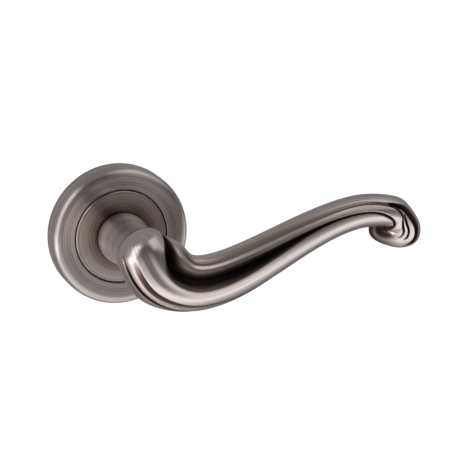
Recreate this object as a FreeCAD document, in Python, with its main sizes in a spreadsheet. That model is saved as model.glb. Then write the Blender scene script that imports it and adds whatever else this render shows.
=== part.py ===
"""Scroll door lever on a round sprung rose, as a parametric document. Millimetres.

The lever turns about the Y axis. The door face is the plane y = 0: the rose and the lever stand on its
-Y side, and the spindle and the fixing bolts run into the door on its +Y side. +Z is up, and the arm
points along +X. Turned pieces are drawn as half-profiles in the XY plane and revolved about Y.
"""
import FreeCAD
import Part
import math
import os
import Sketcher
from FreeCAD import Placement, Rotation, Vector

SIZES = (
    # rose cover
    ("rose_radius", 27.0), ("rose_wall_depth", 9.1), ("rose_shoulder", 3.2), ("rose_hole_radius", 18.5),
    ("rose_face_depth", 8.6), ("rose_lip_radius", 18.8), ("rose_lip_depth", 8.3),
    ("rose_crown_radius", 23.4), ("rose_bore_radius", 25.3), ("rose_bore_depth", 7.3),
    ("rose_shell_depth", 6.4), ("rose_shell_radius", 25.0),
    ("clip_groove_radius", 25.65), ("clip_groove_front", 4.1), ("clip_groove_back", 2.9),
    # spring housing, back plate and bush
    ("housing_radius", 24.9), ("housing_front", 7.0), ("plate_thickness", 1.0), ("chamber_radius", 13.9),
    ("chamber_front", 6.0), ("boss_radius", 10.5), ("boss_back", 3.7), ("bush_radius", 9.5),
    ("bush_bore", 8.05), ("clip_seat_radius", 24.55), ("plate_bore", 9.6),
    # collar disc
    ("collar_radius", 17.9), ("collar_front", 8.5), ("collar_rim_front", 8.4), ("collar_back", 7.3),
    ("collar_face_radius", 17.6), ("collar_edge_front", 8.1),
    ("collar_dish_radius", 14.0),
    # neck of the lever
    ("hub_radius", 8.0), ("hub_end", 0.5), ("neck_foot_radius", 9.4), ("neck_bulge_radius", 9.9),
    ("neck_bulge_depth", 12.6), ("neck_waist_radius", 8.9), ("neck_waist_depth", 20.6),
    ("neck_flare_radius", 9.0), ("neck_flare_depth", 27.0), ("neck_head_radius", 9.7),
    ("neck_head_depth", 34.0), ("neck_end_depth", 39.0), ("flat_width", 13.2), ("flat_end", 3.05),
    ("socket_width", 8.1), ("socket_end", 31.0), ("circlip_groove_radius", 7.2),
    ("circlip_groove_front", 1.75), ("circlip_groove_back", 0.85),
    # drive cam, washer and circlip
    ("cam_front", 3.0), ("cam_thickness", 1.2), ("cam_radius", 10.2), ("cam_lug_radius", 13.3),
    ("cam_lug_width", 5.0), ("cam_bore", 8.05), ("cam_flat_width", 13.3), ("washer_front", 3.4),
    ("washer_thickness", 0.3), ("washer_radius", 10.0), ("washer_bore", 8.1), ("circlip_radius", 9.1),
    ("circlip_bore", 7.25), ("circlip_thickness", 0.8), ("circlip_front", 1.7), ("circlip_arc", 322.0),
    # return spring
    ("spring_radius", 11.7), ("spring_wire_radius", 0.6), ("spring_pitch", 1.35), ("spring_rise", 1.62),
    ("spring_front", 5.35), ("spring_tang_front", 6.7), ("spring_tang_back", 2.2),
    ("tang_hole_radius", 0.75),
    # stop pins
    ("pin_radius", 1.0), ("pin_front", 3.1), ("rest_pin_x", -3.851), ("rest_pin_z", 11.576),
    ("travel_pin_x", 10.909), ("travel_pin_z", 5.463),
    # snap ring of the rose cover
    ("snap_ring_radius", 25.1), ("snap_wire_radius", 0.5), ("snap_ring_depth", 3.5),
    ("snap_ring_arc", 336.0),
    # fixing bolts and their seats
    ("bolt_offset", 19.0), ("bolt_radius", 2.0), ("bolt_length", 22.0), ("bolt_seat", 3.0),
    ("bolt_head_radius", 3.8), ("bolt_head_depth", 2.4), ("bolt_seat_radius", 4.3),
    ("bolt_hole_radius", 2.25), ("bolt_shoulder_radius", 2.12), ("bolt_shoulder_length", 3.1),
    ("bolt_slot_width", 1.0), ("bolt_slot_depth", 1.1), ("bolt_slot_length", 4.94),
    # housing screws
    ("screw_offset", 19.5), ("screw_radius", 1.25), ("screw_length", 4.6), ("screw_head_radius", 2.2),
    ("screw_head_depth", 0.95), ("screw_slot_width", 0.6), ("screw_slot_depth", 0.5),
    ("screw_slot_length", 2.86),
    # spindle and grub screw
    ("spindle_width", 8.0), ("spindle_front", 30.5), ("spindle_back", 58.0), ("spindle_chamfer", 0.8),
    ("grub_depth", 20.6), ("grub_radius", 2.5), ("grub_tip", 4.0), ("grub_length", 4.7),
    ("grub_hex_radius", 1.45), ("grub_hex_depth", 2.4), ("grub_hole_radius", 2.55),
    ("grub_hole_length", 12.0),
    # lengths of tools that cut past a piece
    ("cut_clearance", 1.0), ("flat_cut_width", 5.0), ("cut_height", 24.0),
)

HOUSING_SCREWS = 3

# Stations of the arm: x, y, z of the centre, reach above, below, to the front and to the back, and
# the direction of "above" in degrees from +X towards +Z.
ARM = (
    (-1.6, -41.0, 3.4, 9.4, 10.6, 9.4, 9.0, 31.0),
    (3.6, -41.2, -5.2, 12.2, 12.8, 9.8, 8.8, 48.0),
    (14.2, -41.2, -11.0, 11.2, 10.9, 9.2, 8.0, 76.0),
    (25.4, -41.0, -10.8, 10.3, 10.2, 8.6, 7.2, 99.0),
    (36.6, -40.8, -7.5, 9.5, 9.6, 8.0, 6.8, 110.0),
    (48.6, -40.6, -2.4, 8.5, 8.6, 7.5, 6.5, 113.0),
    (60.7, -40.4, 2.9, 7.7, 7.5, 7.0, 6.2, 112.0),
    (72.9, -40.2, 7.5, 7.0, 6.7, 6.6, 6.0, 107.0),
    (83.2, -40.0, 10.0, 6.6, 6.5, 6.4, 5.8, 98.0),
    (91.0, -40.0, 10.1, 6.5, 6.2, 6.3, 5.7, 88.0),
)

# Stations of the scroll, fanned about its eye: direction, y, outer and inner radius, front, back.
SCROLL_EYE = (97.1, 2.1)
SCROLL = (
    (74.0, -40.0, 13.2, 1.6, 6.1, 5.7),
    (52.0, -39.9, 12.4, 1.4, 5.9, 5.5),
    (26.0, -39.7, 12.3, 1.2, 5.6, 5.3),
    (0.0, -39.4, 13.8, 1.1, 5.2, 5.1),
    (-26.0, -38.9, 14.2, 1.1, 4.8, 4.9),
    (-52.0, -38.2, 10.8, 0.9, 4.5, 4.7),
    (-84.0, -37.4, 7.2, 0.6, 4.2, 4.4),
    (-118.0, -36.8, 6.3, 0.4, 4.0, 4.2),
    (-148.0, -36.4, 6.5, 0.3, 3.6, 3.9),
    (-168.0, -36.2, 5.4, 1.6, 1.4, 1.6),
)

# Rounded cap that closes the head: how far back along the arm, and the size left there.
CAP_STEPS = ((0.34, 0.94), (0.62, 0.79), (0.84, 0.55), (0.96, 0.28), (1.0, 0.08))
CAP_LENGTH = 8.2

# Flutes: (station, angle from the front, half-width in degrees, depth as a share of the radius).
MAIN_FLUTE = (
    (0.0, 80.0, 16.0, 0.0), (0.7, 55.0, 20.0, 0.16), (1.1, 28.0, 24.0, 0.34), (2.0, 16.0, 27.0, 0.42),
    (4.0, 13.0, 25.0, 0.42), (5.0, 12.0, 22.0, 0.38), (6.0, 10.0, 17.0, 0.28), (7.0, 10.0, 13.0, 0.18),
    (8.0, 4.0, 11.0, 0.13), (9.0, 0.0, 10.0, 0.12), (10.0, -12.0, 11.0, 0.12), (11.0, -28.0, 12.0, 0.08),
    (12.0, -40.0, 12.0, 0.0), (20.0, -40.0, 12.0, 0.0),
)
LOWER_FLUTE = (
    (0.0, -42.0, 12.0, 0.0), (0.5, -44.0, 12.0, 0.08), (1.0, -48.0, 13.0, 0.12), (3.0, -56.0, 13.0, 0.12),
    (5.0, -66.0, 12.0, 0.08), (7.0, -76.0, 12.0, 0.0), (20.0, -76.0, 12.0, 0.0),
)
UPPER_FLUTE = (
    (0.0, 60.0, 14.0, 0.0), (3.0, 58.0, 14.0, 0.03), (5.0, 54.0, 14.0, 0.06), (8.0, 46.0, 15.0, 0.08),
    (10.0, 40.0, 16.0, 0.12), (12.0, 34.0, 18.0, 0.22), (14.0, 26.0, 18.0, 0.22), (15.5, 20.0, 18.0, 0.05),
    (16.0, 20.0, 18.0, 0.0), (20.0, 20.0, 18.0, 0.0),
)
FLUTES = (MAIN_FLUTE, LOWER_FLUTE, UPPER_FLUTE)
SECTION_POINTS = 40


def make_sheet(doc):
    """Put every driving dimension in the spreadsheet, one alias per row."""
    sheet = doc.addObject("Spreadsheet::Sheet", "sizes")
    for row, (alias, value) in enumerate(SIZES, start=1):
        sheet.set("A%d" % row, alias)
        sheet.set("B%d" % row, str(value))
        sheet.setAlias("B%d" % row, alias)
    doc.recompute()
    return sheet


def number(sheet, term):
    """Value of a signed alias such as '-rose_radius', or of a plain number."""
    if isinstance(term, (int, float)):
        return float(term)
    if term.startswith("-"):
        return -float(sheet.get(term[1:]))
    return float(sheet.get(term))


def formula(term):
    """Expression that reads a signed alias from the sheet."""
    if term.startswith("-"):
        return "-sizes.%s" % term[1:]
    return "sizes.%s" % term


def bind(item, name, term):
    """Bind one property of an object to a cell of the sheet."""
    item.setExpression(name, formula(term))


def new_body(doc, label):
    """Empty body named after its sub-part."""
    body = doc.addObject("PartDesign::Body", label)
    body.Label = label
    return body


def new_sketch(body, role, name, offset=None):
    """Sketch on one of the body's own origin planes, shifted along its normal when asked."""
    sketch = body.newObject("Sketcher::SketchObject", name)
    plane = next(item for item in body.Origin.OriginFeatures if item.Role == role)
    sketch.AttachmentSupport = [(plane, "")]
    sketch.MapMode = "FlatFace"
    if offset:
        sketch.setExpression("AttachmentOffset.Base.z", formula(offset))
    return sketch


def fix_coordinate(sketch, kind, geometry, point, term, value):
    """Hold one coordinate of a point at a cell's value, or on the axis when it is zero."""
    if term == 0:
        axis = -2 if kind == "DistanceX" else -1
        sketch.addConstraint(Sketcher.Constraint("PointOnObject", geometry, point, axis))
        return
    index = sketch.addConstraint(Sketcher.Constraint(kind, -1, 1, geometry, point, value))
    sketch.setExpression("Constraints[%d]" % index, formula(term))


def add_profile(sheet, sketch, corners):
    """Closed polygon whose corners are pairs of signed aliases."""
    points = [Vector(number(sheet, x), number(sheet, y), 0) for x, y in corners]
    count = len(points)
    for index in range(count):
        sketch.addGeometry(Part.LineSegment(points[index], points[(index + 1) % count]), False)
    for index in range(count):
        following = (index + 1) % count
        sketch.addConstraint(Sketcher.Constraint("Coincident", index, 2, following, 1))
    for index, (x, y) in enumerate(corners):
        fix_coordinate(sketch, "DistanceX", index, 1, x, points[index].x)
        fix_coordinate(sketch, "DistanceY", index, 1, y, points[index].y)


def add_circle(sheet, sketch, centre, radius):
    """Circle whose centre is a pair of signed aliases or zeros."""
    place = Vector(number(sheet, centre[0]), number(sheet, centre[1]), 0)
    circle = Part.Circle(place, Vector(0, 0, 1), number(sheet, radius))
    index = sketch.addGeometry(circle, False)
    size = sketch.addConstraint(Sketcher.Constraint("Radius", index, circle.Radius))
    sketch.setExpression("Constraints[%d]" % size, formula(radius))
    fix_coordinate(sketch, "DistanceX", index, 3, centre[0], place.x)
    fix_coordinate(sketch, "DistanceY", index, 3, centre[1], place.y)


def turned(doc, sheet, label, corners):
    """Body made by turning a half-profile about the Y axis."""
    body = new_body(doc, label)
    sketch = new_sketch(body, "XY_Plane", label + "_profile")
    add_profile(sheet, sketch, corners)
    turn = body.newObject("PartDesign::Revolution", label + "_turn")
    turn.Profile = sketch
    turn.ReferenceAxis = (sketch, ["V_Axis"])
    turn.Angle = 360
    doc.recompute()
    return body


def pocket(doc, body, sketch, name, depth=None):
    """Cut a sketch of the XZ plane towards +Y, right through when no depth is named."""
    before = body.Shape.Volume
    cut = body.newObject("PartDesign::Pocket", name)
    cut.Profile = sketch
    if depth:
        cut.Type = "Length"
        cut.setExpression("Length", depth)
    else:
        cut.Type = "ThroughAll"
        cut.Midplane = True
    doc.recompute()
    if body.Shape.Volume >= before - 0.01:
        raise RuntimeError(name + " cuts nothing")
    return cut


def round_edges(doc, body, name, radius, matches):
    """Fillet the edges of the body's tip that the test picks."""
    tip = body.Tip
    names = ["Edge%d" % (index + 1) for index, edge in enumerate(tip.Shape.Edges) if matches(edge)]
    fillet = body.newObject("PartDesign::Fillet", name)
    fillet.Base = (tip, names)
    fillet.setExpression("Radius", radius)
    doc.recompute()


def is_ring(edge, radius, depth):
    """True for the circular edge of this radius round the Y axis at this y."""
    curve = edge.Curve
    if not isinstance(curve, Part.Circle):
        return False
    return abs(curve.Radius - radius) < 0.01 and abs(curve.Center.y - depth) < 0.01


def cylinder(doc, name, radius, height, start, offset=(0, 0)):
    """Cylinder along +Y whose height, starting y, and x and z offset are expressions of cells."""
    item = doc.addObject("Part::Cylinder", name)
    item.Placement = Placement(Vector(0, 0, 0), Rotation(Vector(1, 0, 0), -90))
    bind(item, "Radius", radius)
    item.setExpression("Height", height)
    item.setExpression("Placement.Base.y", start)
    for axis, term in zip("xz", offset):
        if term != 0:
            item.setExpression("Placement.Base." + axis, term)
    return item


def join(doc, label, *items):
    """Fuse several objects into one sub-part."""
    fused = doc.addObject("Part::MultiFuse", label)
    fused.Label = label
    fused.Shapes = list(items)
    return fused


def cut(doc, label, base, tool):
    """Cut one object from another."""
    result = doc.addObject("Part::Cut", label)
    result.Label = label
    result.Base = base
    result.Tool = tool
    return result


def make_rose_ring(doc, sheet):
    """Pressed cover with a rounded shoulder, open at the front for the collar disc."""
    corners = (
        ("rose_radius", 0), ("rose_radius", "-rose_wall_depth"), ("rose_crown_radius", "-rose_wall_depth"),
        ("rose_lip_radius", "-rose_face_depth"), ("rose_hole_radius", "-rose_lip_depth"),
        ("rose_hole_radius", "-rose_bore_depth"),
        ("rose_shell_radius", "-rose_bore_depth"), ("rose_bore_radius", "-rose_shell_depth"),
        ("rose_bore_radius", "-clip_groove_front"), ("clip_groove_radius", "-clip_groove_front"),
        ("clip_groove_radius", "-clip_groove_back"), ("rose_bore_radius", "-clip_groove_back"),
        ("rose_bore_radius", 0),
    )
    body = turned(doc, sheet, "rose_ring", corners)
    radius = number(sheet, "rose_radius")
    depth = -number(sheet, "rose_wall_depth")
    round_edges(doc, body, "rose_shoulder_round", "sizes.rose_shoulder",
                lambda edge: is_ring(edge, radius, depth))
    return body


def make_collar_disc(doc, sheet):
    """Dished disc that turns with the neck and fills the hole of the rose cover."""
    corners = (
        ("bush_bore", "-collar_back"), ("collar_radius", "-collar_back"),
        ("collar_radius", "-collar_edge_front"), ("collar_face_radius", "-collar_rim_front"),
        ("collar_dish_radius", "-collar_front"), ("bush_bore", "-collar_front"),
    )
    return turned(doc, sheet, "collar_disc", corners)


def make_spring_housing(doc, sheet):
    """Zinc housing: a spring chamber open to the back, a bush boss and two bolt seats."""
    corners = (
        ("bush_radius", "-housing_front"), ("housing_radius", "-housing_front"),
        ("housing_radius", "-clip_groove_front"), ("clip_seat_radius", "-clip_groove_front"),
        ("clip_seat_radius", "-clip_groove_back"), ("housing_radius", "-clip_groove_back"),
        ("housing_radius", "-plate_thickness"), ("chamber_radius", "-plate_thickness"),
        ("chamber_radius", "-chamber_front"), ("boss_radius", "-chamber_front"),
        ("boss_radius", "-boss_back"), ("bush_radius", "-boss_back"),
    )
    body = turned(doc, sheet, "spring_housing", corners)
    seats = new_sketch(body, "XZ_Plane", "bolt_seats", "housing_front")
    add_circle(sheet, seats, (0, "bolt_offset"), "bolt_seat_radius")
    add_circle(sheet, seats, (0, "-bolt_offset"), "bolt_seat_radius")
    pocket(doc, body, seats, "bolt_seat_pocket", "sizes.housing_front - sizes.bolt_seat")
    holes = new_sketch(body, "XZ_Plane", "housing_bolt_holes")
    add_circle(sheet, holes, (0, "bolt_offset"), "bolt_hole_radius")
    add_circle(sheet, holes, (0, "-bolt_offset"), "bolt_hole_radius")
    pocket(doc, body, holes, "housing_bolt_pocket")
    tang = new_sketch(body, "XZ_Plane", "tang_hole", "housing_front")
    add_circle(sheet, tang, ("spring_radius", 0), "tang_hole_radius")
    pocket(doc, body, tang, "tang_pocket", "sizes.housing_front - sizes.chamber_front")
    screw = new_sketch(body, "XZ_Plane", "housing_screw_hole")
    add_circle(sheet, screw, ("screw_offset", 0), "screw_radius")
    add_screw_holes(doc, body, screw, "housing_screw")
    return body


def add_screw_holes(doc, body, sketch, name):
    """Equal screw holes about the Y axis."""
    first = pocket(doc, body, sketch, name + "_pocket")
    pattern = body.newObject("PartDesign::PolarPattern", name + "_pattern")
    pattern.Originals = [first]
    pattern.Axis = (sketch, ["N_Axis"])
    pattern.Angle = 360
    pattern.Occurrences = HOUSING_SCREWS
    body.Tip = pattern
    doc.recompute()


def make_backplate(doc, sheet):
    """Steel plate that closes the chamber and lies on the door."""
    corners = (
        ("plate_bore", "-plate_thickness"), ("housing_radius", "-plate_thickness"), ("housing_radius", 0),
        ("plate_bore", 0),
    )
    body = turned(doc, sheet, "backplate", corners)
    holes = new_sketch(body, "XZ_Plane", "plate_bolt_holes")
    add_circle(sheet, holes, (0, "bolt_offset"), "bolt_hole_radius")
    add_circle(sheet, holes, (0, "-bolt_offset"), "bolt_hole_radius")
    pocket(doc, body, holes, "plate_bolt_pocket")
    pins = new_sketch(body, "XZ_Plane", "plate_pin_holes")
    add_circle(sheet, pins, ("rest_pin_x", "rest_pin_z"), "pin_radius")
    add_circle(sheet, pins, ("travel_pin_x", "travel_pin_z"), "pin_radius")
    pocket(doc, body, pins, "plate_pin_pocket")
    screw = new_sketch(body, "XZ_Plane", "plate_screw_hole")
    add_circle(sheet, screw, ("screw_offset", 0), "screw_radius")
    add_screw_holes(doc, body, screw, "plate_screw")
    radius = number(sheet, "screw_radius")
    tip = body.Tip
    rims = ["Edge%d" % (index + 1) for index, edge in enumerate(tip.Shape.Edges)
            if is_ring(edge, radius, 0.0)]
    chamfer = body.newObject("PartDesign::Chamfer", "screw_countersinks")
    chamfer.Base = (tip, rims)
    chamfer.setExpression("Size", "sizes.screw_head_depth")
    doc.recompute()
    return body


def make_neck_bush(doc, sheet):
    """Acetal sleeve pressed into the housing boss."""
    corners = (
        ("bush_bore", "-housing_front"), ("bush_radius", "-housing_front"), ("bush_radius", "-boss_back"),
        ("bush_bore", "-boss_back"),
    )
    return turned(doc, sheet, "neck_bush", corners)


def make_thrust_washer(doc):
    """Thin washer between the bush and the drive cam."""
    outer = cylinder(doc, "washer_disc", "washer_radius", "sizes.washer_thickness", "-sizes.washer_front")
    inner = cylinder(doc, "washer_hole", "washer_bore", "sizes.washer_thickness", "-sizes.washer_front")
    return cut(doc, "thrust_washer", outer, inner)


def make_circlip(doc):
    """Open retaining ring in the groove at the end of the hub."""
    outer = cylinder(doc, "circlip_disc", "circlip_radius", "sizes.circlip_thickness",
                     "-sizes.circlip_front")
    bind(outer, "Angle", "circlip_arc")
    inner = cylinder(doc, "circlip_hole", "circlip_bore", "sizes.circlip_thickness",
                     "-sizes.circlip_front")
    return cut(doc, "circlip", outer, inner)


def plate_box(doc, name, width, depth, start, height, left=None, low=None):
    """Box of a width in X and a height in Z, centred on the Y axis unless its left or low side is given."""
    box = doc.addObject("Part::Box", name)
    box.setExpression("Length", width)
    box.setExpression("Width", depth)
    box.setExpression("Height", height)
    box.setExpression("Placement.Base.y", start)
    box.setExpression("Placement.Base.x", left or "-(%s) / 2" % width)
    box.setExpression("Placement.Base.z", low or "-(%s) / 2" % height)
    return box


def make_drive_cam(doc):
    """Steel cam keyed on the hub's flats, with the lug that works between the stop pins."""
    disc = cylinder(doc, "cam_disc", "cam_radius", "sizes.cam_thickness", "-sizes.cam_front")
    lug = plate_box(doc, "cam_lug", "sizes.cam_lug_width", "sizes.cam_thickness", "-sizes.cam_front",
                    "sizes.cam_lug_radius", low="0")
    blank = join(doc, "cam_blank", disc, lug)
    bore = cylinder(doc, "cam_bore_tool", "cam_bore", "sizes.cam_thickness", "-sizes.cam_front")
    key = plate_box(doc, "cam_key_tool", "sizes.cam_flat_width", "sizes.cam_thickness", "-sizes.cam_front",
                    "sizes.cut_height")
    keyed = doc.addObject("Part::MultiCommon", "cam_keyed_bore")
    keyed.Shapes = [bore, key]
    tang = cylinder(doc, "cam_tang_tool", "tang_hole_radius", "sizes.cam_thickness", "-sizes.cam_front",
                    (0, "sizes.spring_radius"))
    return cut(doc, "drive_cam", blank, join(doc, "cam_tools", keyed, tang))


def make_return_spring(doc):
    """Torsion spring: a turn and a fifth of wire with one tang in the housing and one in the cam."""
    helix = doc.addObject("Part::Helix", "spring_path")
    bind(helix, "Pitch", "spring_pitch")
    bind(helix, "Height", "spring_rise")
    bind(helix, "Radius", "spring_radius")
    wire = doc.addObject("Part::Circle", "spring_wire")
    bind(wire, "Radius", "spring_wire_radius")
    wire.Placement = Placement(Vector(0, 0, 0), Rotation(Vector(1, 0, 0), 90))
    bind(wire, "Placement.Base.x", "spring_radius")
    coil = doc.addObject("Part::Sweep", "spring_coil")
    coil.Sections = [wire]
    coil.Spine = (helix, ["Edge1"])
    coil.Solid = True
    coil.Frenet = True
    coil.Placement = Placement(Vector(0, 0, 0), Rotation(Vector(1, 0, 0), -90))
    bind(coil, "Placement.Base.y", "-spring_front")
    turn = "-360 deg * sizes.spring_rise / sizes.spring_pitch"
    fixed = cylinder(doc, "spring_fixed_tang", "spring_wire_radius",
                     "sizes.spring_tang_front - sizes.spring_front", "-sizes.spring_tang_front",
                     ("sizes.spring_radius", 0))
    moving = cylinder(doc, "spring_moving_tang", "spring_wire_radius",
                      "sizes.spring_front - sizes.spring_rise - sizes.spring_tang_back",
                      "-sizes.spring_front + sizes.spring_rise",
                      ("sizes.spring_radius * cos(%s)" % turn, "sizes.spring_radius * sin(%s)" % turn))
    return join(doc, "return_spring", coil, fixed, moving)


def make_pin(doc, label, name):
    """Stop pin riveted in the back plate, where the sheet's cells of that name say."""
    pin = cylinder(doc, label, "pin_radius", "sizes.pin_front", "-sizes.pin_front",
                   ("sizes.%s_x" % name, "sizes.%s_z" % name))
    pin.Label = label
    return pin


def make_snap_ring(doc):
    """Open wire ring that holds the rose cover on the housing."""
    ring = doc.addObject("Part::Torus", "snap_ring")
    ring.Label = "snap_ring"
    bind(ring, "Radius1", "snap_ring_radius")
    bind(ring, "Radius2", "snap_wire_radius")
    ring.Placement = Placement(Vector(0, 0, 0), Rotation(Vector(1, 0, 0), -90))
    bind(ring, "Angle3", "snap_ring_arc")
    bind(ring, "Placement.Base.y", "-snap_ring_depth")
    return ring


def cross_slot(doc, name, width, depth, start, length, offset):
    """Two crossed bars that cut a screwdriver recess, at an x and z offset."""
    flat = doc.addObject("Part::Box", name + "_flat")
    upright = doc.addObject("Part::Box", name + "_upright")
    for bar, across, up in ((flat, length, width), (upright, width, length)):
        bar.setExpression("Length", across)
        bar.setExpression("Width", depth)
        bar.setExpression("Height", up)
        bar.setExpression("Placement.Base.x", "%s - %s / 2" % (offset[0], across))
        bar.setExpression("Placement.Base.y", start)
        bar.setExpression("Placement.Base.z", "%s - %s / 2" % (offset[1], up))
    return join(doc, name, flat, upright)


def make_fixing_bolt(doc, label, sign):
    """M4 pan-head bolt through the housing into the door."""
    height = "%s * sizes.bolt_offset" % sign
    shank = cylinder(doc, label + "_shank", "bolt_radius", "sizes.bolt_length", "-sizes.bolt_seat",
                     (0, height))
    head = cylinder(doc, label + "_head", "bolt_head_radius", "sizes.bolt_head_depth",
                    "-sizes.bolt_seat - sizes.bolt_head_depth", (0, height))
    shoulder = cylinder(doc, label + "_shoulder", "bolt_shoulder_radius", "sizes.bolt_shoulder_length",
                        "-sizes.bolt_seat", (0, height))
    blank = join(doc, label + "_blank", shank, shoulder, head)
    slot = cross_slot(doc, label + "_slot", "sizes.bolt_slot_width", "sizes.bolt_slot_depth",
                      "-sizes.bolt_seat - sizes.bolt_head_depth", "sizes.bolt_slot_length",
                      ("0", height))
    return cut(doc, label, blank, slot)


def make_housing_screw(doc, label, angle):
    """Countersunk M2.5 screw that holds the back plate on the housing."""
    across = "sizes.screw_offset * cos(%s deg)" % angle
    height = "sizes.screw_offset * sin(%s deg)" % angle
    shank = cylinder(doc, label + "_shank", "screw_radius", "sizes.screw_length",
                     "-sizes.screw_length - sizes.screw_head_depth / 2", (across, height))
    head = doc.addObject("Part::Cone", label + "_head")
    head.Placement = Placement(Vector(0, 0, 0), Rotation(Vector(1, 0, 0), -90))
    bind(head, "Radius1", "screw_radius")
    bind(head, "Radius2", "screw_head_radius")
    bind(head, "Height", "screw_head_depth")
    head.setExpression("Placement.Base.x", across)
    head.setExpression("Placement.Base.y", "-sizes.screw_head_depth")
    head.setExpression("Placement.Base.z", height)
    blank = join(doc, label + "_blank", shank, head)
    slot = cross_slot(doc, label + "_slot", "sizes.screw_slot_width", "sizes.screw_slot_depth",
                      "-sizes.screw_slot_depth", "sizes.screw_slot_length", (across, height))
    return cut(doc, label, blank, slot)


def make_spindle(doc, sheet):
    """Square steel spindle with chamfered ends."""
    bar = plate_box(doc, "spindle_bar", "sizes.spindle_width", "sizes.spindle_front + sizes.spindle_back",
                    "-sizes.spindle_front", "sizes.spindle_width")
    doc.recompute()
    ends = []
    for index, edge in enumerate(bar.Shape.Edges, start=1):
        first, last = [vertex.Point for vertex in edge.Vertexes]
        if abs(first.y - last.y) < 0.01:
            ends.append(index)
    spindle = doc.addObject("Part::Chamfer", "spindle")
    spindle.Label = "spindle"
    spindle.Base = bar
    size = number(sheet, "spindle_chamfer")
    spindle.Edges = [(index, size, size) for index in ends]
    return spindle


def make_grub_screw(doc):
    """Socket set screw in the underside of the neck, bearing on the spindle."""
    blank = doc.addObject("Part::Cylinder", "grub_blank")
    bind(blank, "Radius", "grub_radius")
    bind(blank, "Height", "grub_length")
    bind(blank, "Placement.Base.y", "-grub_depth")
    blank.setExpression("Placement.Base.z", "-sizes.grub_tip - sizes.grub_length")
    socket = doc.addObject("Part::Prism", "grub_socket")
    socket.Polygon = 6
    bind(socket, "Circumradius", "grub_hex_radius")
    bind(socket, "Height", "grub_hex_depth")
    bind(socket, "Placement.Base.y", "-grub_depth")
    socket.setExpression("Placement.Base.z", "-sizes.grub_tip - sizes.grub_length")
    return cut(doc, "grub_screw", blank, socket)


def make_neck(doc, sheet):
    """Turned neck: hub in the bush, a foot on the collar disc, a bulge, a waist and a flare."""
    body = new_body(doc, "neck")
    sketch = new_sketch(body, "XY_Plane", "neck_profile")
    names = (
        ("neck_foot_radius", "-collar_front"), ("neck_bulge_radius", "-neck_bulge_depth"),
        ("neck_waist_radius", "-neck_waist_depth"), ("neck_flare_radius", "-neck_flare_depth"),
        ("neck_head_radius", "-neck_head_depth"),
    )
    outline = [Vector(number(sheet, x), number(sheet, y), 0) for x, y in names]
    curve = Part.BSplineCurve()
    curve.interpolate(outline)
    sketch.addGeometry(curve, False)
    chain = (
        ("neck_head_radius", "-neck_end_depth"), (0, "-neck_end_depth"), (0, "-hub_end"),
        ("hub_radius", "-hub_end"), ("hub_radius", "-collar_front"),
    )
    points = [outline[-1]]
    points += [Vector(number(sheet, x), number(sheet, y), 0) for x, y in chain]
    points.append(outline[0])
    for first, second in zip(points, points[1:]):
        sketch.addGeometry(Part.LineSegment(first, second), False)
    last = len(points) - 1
    sketch.addConstraint(Sketcher.Constraint("Coincident", 0, 2, 1, 1))
    for index in range(1, last):
        sketch.addConstraint(Sketcher.Constraint("Coincident", index, 2, index + 1, 1))
    sketch.addConstraint(Sketcher.Constraint("Coincident", last, 2, 0, 1))
    for index, (x, y) in enumerate((names[-1],) + chain + (names[0],), start=1):
        geometry, point = (index, 1) if index <= last else (last, 2)
        place = points[index - 1]
        fix_coordinate(sketch, "DistanceX", geometry, point, x, place.x)
        fix_coordinate(sketch, "DistanceY", geometry, point, y, place.y)
    turn = body.newObject("PartDesign::Revolution", "neck_turn")
    turn.Profile = sketch
    turn.ReferenceAxis = (sketch, ["V_Axis"])
    turn.Angle = 360
    doc.recompute()
    return body


def scroll_station(row):
    """Station of the arm for one spoke of the scroll."""
    angle, depth, outer, inner, front, back = row
    radius = (outer + inner) / 2
    reach = (outer - inner) / 2
    x = SCROLL_EYE[0] + radius * math.cos(math.radians(angle))
    z = SCROLL_EYE[1] + radius * math.sin(math.radians(angle))
    return (x, depth, z, reach, reach, front, back, angle)


def interpolate(rows, place):
    """Values of a table of rows at a place, its first column, with straight lines between rows."""
    for first, second in zip(rows, rows[1:]):
        if place <= second[0]:
            share = (place - first[0]) / (second[0] - first[0])
            return [a + (b - a) * share for a, b in zip(first[1:], second[1:])]
    return list(rows[-1][1:])


def blend(rows, place):
    """Smooth spline through the stations at a fractional station number."""
    index = min(max(int(math.floor(place)), 0), len(rows) - 2)
    step = place - index
    before = rows[max(index - 1, 0)]
    after = rows[min(index + 2, len(rows) - 1)]
    values = []
    for a, b, c, d in zip(before, rows[index], rows[index + 1], after):
        start, end = (c - a) / 2, (d - b) / 2
        values.append((2 * step ** 3 - 3 * step ** 2 + 1) * b + (step ** 3 - 2 * step ** 2 + step) * start
                      + (3 * step ** 2 - 2 * step ** 3) * c + (step ** 3 - step ** 2) * end)
    return values


def flute_depth(place, angle):
    """How much of the radius the flutes take away at this station and section angle."""
    taken = 0.0
    for flute in FLUTES:
        centre, width, depth = interpolate(flute, place)
        offset = (angle - centre + 180.0) % 360.0 - 180.0
        if abs(offset) < width:
            taken += depth * math.cos(math.radians(90.0 * offset / width)) ** 2
    return taken


def section_points(rows, place, scale=1.0, shift=0.0):
    """Points round one section of the arm, scaled and moved back along the arm for the cap."""
    x, y, z, above, below, ahead, behind, lean = blend(rows, place)
    up = Vector(math.cos(math.radians(lean)), 0, math.sin(math.radians(lean)))
    along = Vector(up.z, 0, -up.x)
    front = Vector(0, -1, 0)
    centre = Vector(x, y, z) - along * shift
    points = []
    for index in range(SECTION_POINTS):
        angle = 360.0 * index / SECTION_POINTS - 180.0
        sine = math.sin(math.radians(angle))
        cosine = math.cos(math.radians(angle))
        tall = above if sine > 0 else below
        deep = ahead if cosine > 0 else behind
        radius = scale / math.hypot(sine / tall, cosine / deep)
        radius *= 1.0 - flute_depth(place, angle)
        points.append(centre + (up * sine + front * cosine) * radius)
    return points


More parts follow.
